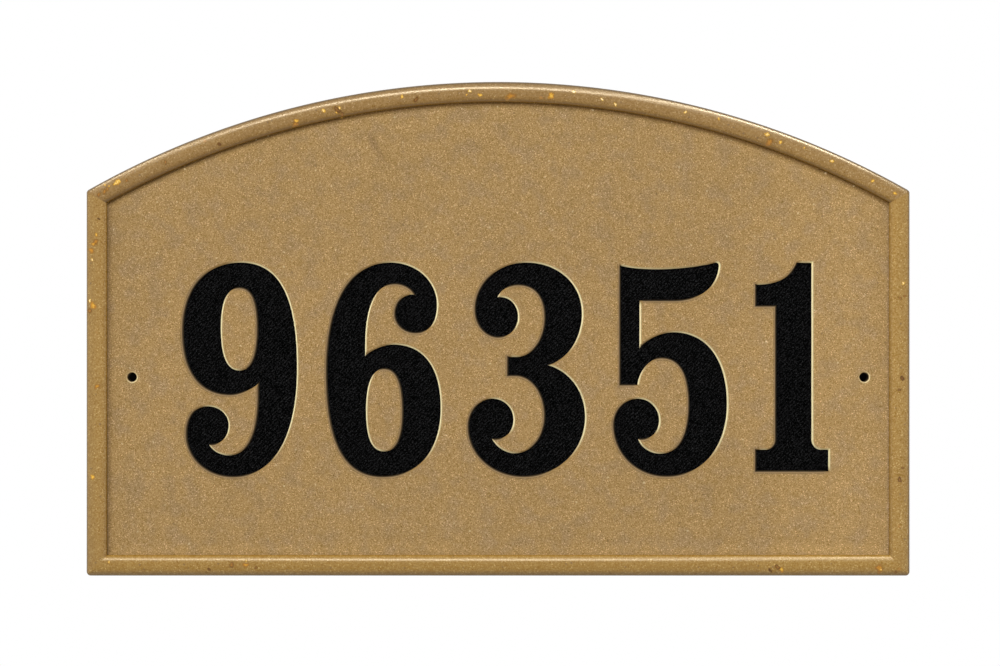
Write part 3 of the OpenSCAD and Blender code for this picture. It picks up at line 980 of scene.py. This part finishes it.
def blackCoat():
    # fine pale grains show through the black, in broken streaks that rise to the right: the
    # sine of the distance across them, swayed by a noise, is added to each grain's number
    look = blackLook
    material, tree, shader, place = startMaterial("blackCoat", look)
    cells = put(tree, "TexVoronoi", {"Vector": place, "Scale": look["grainScale"]})
    x, y, z = put(tree, "SeparateXYZ", {0: place}).outputs
    across = times(tree, calc(tree, "SUBTRACT", x, z),
                   2000 * math.pi / look["streakEvery"] / math.sqrt(2))
    bend = put(tree, "TexNoise", {"Vector": place, "Scale": look["swayScale"], "Detail": 2.0})
    angle = calc(tree, "MULTIPLY_ADD", bend.outputs[0], look["sway"], across)
    wave = calc(tree, "SINE", angle)
    share = calc(tree, "MULTIPLY_ADD", wave, look["streak"], randomOf(tree, cells)[0])
    grains = ramp(tree, share, *look["spread"])
    tone = blend(tree, grains, look["tone"], look["grainTone"])
    # painted shade: the coat's edge goes browner beside the shaded walls
    tone = blend(tree, readMark(tree), tone, look["fringeShadeTone"])
    finishMaterial(tree, shader, tone, grains, look)
    return material


chipLook = {
    "tones": [(0.0, (0.95, 0.82, 0.55, 1)), (0.25, (0.86, 0.54, 0.08, 1)),
              (0.5, (0.53, 0.235, 0.026, 1)), (0.75, (0.31, 0.145, 0.032, 1)),
              (1.0, (0.13, 0.055, 0.014, 1))],
    "bitScale": 1500.0, "bits": 1.3, "shift": (0.15, 0.95, -0.07, 0.32), "fade": (0.55, 1.1),
    "roughness": 0.25, "specular": 0.22,
}


def chipStone():
    # the tone picks the colour, which darkens from a chip's middle to its rim (the mark) and
    # there runs into the bead's own
    look = chipLook
    material, tree, shader, place = startMaterial("chipStone", look)
    bits = put(tree, "TexNoise", {"Vector": place, "Scale": look["bitScale"], "Detail": 3.0})
    bits = calc(tree, "MULTIPLY_ADD", bits.outputs[0], look["bits"], -look["bits"] / 2)
    share = calc(tree, "ADD", readMark(tree), bits)
    tone = calc(tree, "ADD", readMark(tree, "tone"), ramp(tree, share, *look["shift"]))
    colours = put(tree, "ValToRGB", {0: tone})
    stops = colours.color_ramp.elements
    while len(stops) < len(look["tones"]):
        stops.new(0.5)
    for stop, (at, colour) in zip(stops, look["tones"]):
        stop.position = at
    for stop, (at, colour) in zip(stops, look["tones"]):
        stop.color = colour
    tone = blend(tree, ramp(tree, share, *look["fade"]), colours.outputs[0], polishedLook["tone"])
    tree.links.new(tone, shader.inputs["Base Color"])
    return material


stone = [polishedStone(), blastedStone(), cutStone(), backStone()]
black = blackCoat()
tabletPiece = buildTablet(stone)
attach(tabletPiece, "root")
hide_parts("plaque")
for i, (outline, counter) in enumerate(placedLoops()):
    piece = buildFill("blackFill%d" % (i + 1), outline, counter, black)
    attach(piece, "root")
    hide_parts("fill_%d" % (i + 1))
chipPiece = buildChips(chipStone())
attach(chipPiece, "root")
say("tablet, fills and chips")

scene = bpy.context.scene
scene.view_settings.view_transform = "Standard"

stage = {
    # metres; the floor ends before the camera's view, so the front view stays white
    "floorDrop": 0.26, "floorRadius": 1.6, "whiteShare": 0.6, "discDepth": 0.0006,
}


def plainLook(colour):
    material, tree, shader, place = startMaterial("plain", {"roughness": 0.9, "specular": 0.5})
    shader.inputs["Base Color"].default_value = (*colour, 1)
    return material


def stagePiece(name, places, faces, material):
    mesh = bpy.data.meshes.new(name)
    mesh.from_pydata(places.tolist(), [], faces)
    material.name = name
    mesh.materials.append(material)
    piece = bpy.data.objects.new(name, mesh)
    scene.collection.objects.link(piece)


def buildFloor():
    # a round pale floor, part of which the camera sees as plain white
    level = -tablet["holeHeight"] / 1000 - stage["floorDrop"]
    ring = np.column_stack([circlePlan(0, 0, stage["floorRadius"], 96), np.full(96, level)])
    material = plainLook((0.9, 0.9, 0.9))
    tree = material.node_tree
    path = put(tree, "LightPath")
    white = put(tree, "Emission", {"Color": (1, 1, 1, 1), "Strength": 1.0})
    share = times(tree, path.outputs["Is Camera Ray"], stage["whiteShare"])
    mix = put(tree, "MixShader", {0: share, 1: tree.nodes["Principled BSDF"].outputs[0],
                                  2: white.outputs[0]})
    tree.links.new(mix.outputs[0], tree.nodes["Material Output"].inputs["Surface"])
    stagePiece("paleFloor", ring, [tuple(range(96))], material)


def buildHoleShadeDiscs():
    # painted shade: one near-black disc deep inside each screw hole keeps the hole dark
    plans = [circlePlan(side * tablet["holeSpacing"] / 2, 0, tablet["holeRadius"] - 0.01, 48)
             for side in (-1, 1)]
    plan = np.concatenate(plans) / 1000
    places = np.column_stack([plan[:, 0], np.full(96, -stage["discDepth"]), plan[:, 1]])
    faces = [tuple(range(48)), tuple(range(48, 96))]
    stagePiece("holeShadeDiscs", places, faces, plainLook((0.012, 0.009, 0.006)))


def buildWorld(strength):
    # white to the camera and in reflections, and a soft even light on the object
    world = bpy.data.worlds.new("studio")
    scene.world = world
    world.use_nodes = True
    tree = world.node_tree
    tree.nodes.clear()
    path = put(tree, "LightPath").outputs
    seen = greatest(tree, path["Is Camera Ray"], path["Is Glossy Ray"],
                    path["Is Transmission Ray"])
    soft = put(tree, "Background", {"Color": (1, 1, 1, 1), "Strength": strength})
    white = put(tree, "Background", {"Color": (1, 1, 1, 1), "Strength": 1.0})
    mix = put(tree, "MixShader", {0: seen, 1: soft.outputs[0], 2: white.outputs[0]})
    out = put(tree, "OutputWorld")
    tree.links.new(mix.outputs[0], out.inputs["Surface"])


studio = {
    "ambient": 0.21,
    # name, degrees to the right of the front, rise, share of the light on the front, spread;
    # the shares and the ambient light add up to 1
    "suns": [("key", -24, 38, 0.51, 18), ("leftSun", -75, -14, 0.15, 16),
             ("rightSun", 75, -14, 0.13, 16)],
    # bright narrow panels that show in the polish only: start, end, width and share of glint
    "glint": 44.0, "glintTint": (1.0, 0.87, 0.63),
    "strips": [
        ("glintFarLeft", (-1.15, -0.36, 1.44), (-0.876, -0.684, 1.373), 0.09, 0.8),
        ("glintNearLeft", (-0.876, -0.684, 1.373), (-0.50, -1.0, 1.11), 0.09, 0.5),
        ("glintLeft", (-0.50, -1.0, 1.11), (-0.20, -1.13, 1.08), 0.10, 0.95),
        ("glintTop", (-0.20, -1.13, 1.08), (0.12, -1.31, 1.05), 0.10, 1.42),
        ("glintRight", (0.14, -1.24, 1.04), (0.47, -0.62, 1.42), 0.09, 0.7),
        ("glintFarRight", (0.47, -0.60, 1.45), (0.93, -0.50, 1.27), 0.09, 2.05),
    ],
    "backSun": {"place": (0.6, 2.0, 1.2), "energy": 1.2, "spread": 20},
}


def addLight(name, kind, place, **settings):
    data = bpy.data.lights.new(name, kind)
    for key, value in settings.items():
        setattr(data, key, value)
    item = bpy.data.objects.new(name, data)
    scene.collection.objects.link(item)
    item.location = place
    return item


def addSun(name, place, target, energy, spread):
    # a soft sun that shines from a place towards a target, and isn't seen in the polish
    item = addLight(name, "SUN", place, energy=energy, angle=math.radians(spread))
    way = np.array(target) - np.array(item.location)
    yaw = math.atan2(way[0], -way[1])
    pitch = math.atan2(math.hypot(way[0], way[1]), -way[2])
    item.rotation_euler = (pitch, 0, yaw + math.pi)
    item.visible_glossy = False


def addFrontSun(name, turn, rise, share, spread):
    turn, rise = math.radians(turn), math.radians(rise)
    front = math.cos(turn) * math.cos(rise)
    place = (3 * math.sin(turn) * math.cos(rise), -3 * front, 3 * math.sin(rise))
    addSun(name, place, (0, 0, 0), share * math.pi / front, spread)


def addStrip(name, start, end, width, share):
    middle = (np.array(start) + end) / 2
    run = np.array(end) - start
    size = float(np.linalg.norm(run))
    energy = share * studio["glint"] * math.pi * size * width
    item = addLight(name, "AREA", middle, shape="RECTANGLE", size=size, size_y=width,
                    energy=energy, color=studio["glintTint"])
    across = Vector(run).normalized()
    back = Vector(middle) - Vector((0, 0, 0.05))
    back = (back - across * back.dot(across)).normalized()
    item.matrix_world = Matrix((across, back.cross(across), back)).transposed().to_4x4()
    item.location = middle
    item.visible_diffuse = False


buildFloor()
buildHoleShadeDiscs()
buildWorld(studio["ambient"])
for sun in studio["suns"]:
    addFrontSun(*sun)
for strip in studio["strips"]:
    addStrip(*strip)
behind = studio["backSun"]
addSun("backSun", behind["place"], (0, 0, 0.02), behind["energy"], behind["spread"])

# the camera's place beside and above the frame's origin, and the width that it sees at the
# field's level, all in millimetres like its lens
view = {"lens": 100.0, "sensor": 36.0, "frameWidth": 486.15, "x": 0.92, "z": 21.45}
cameraData = bpy.data.cameras.new("camera")
cameraData.lens = view["lens"]
cameraData.sensor_width = view["sensor"]
camera = bpy.data.objects.new("camera", cameraData)
scene.collection.objects.link(camera)
away = view["frameWidth"] * view["lens"] / view["sensor"] + fieldLevel
camera.location = (view["x"] / 1000, -away / 1000, view["z"] / 1000)
camera.rotation_euler = (math.pi / 2, 0, 0)
cameraData.clip_start, cameraData.clip_end = 0.01, 50
scene.camera = camera
say("lights and camera")
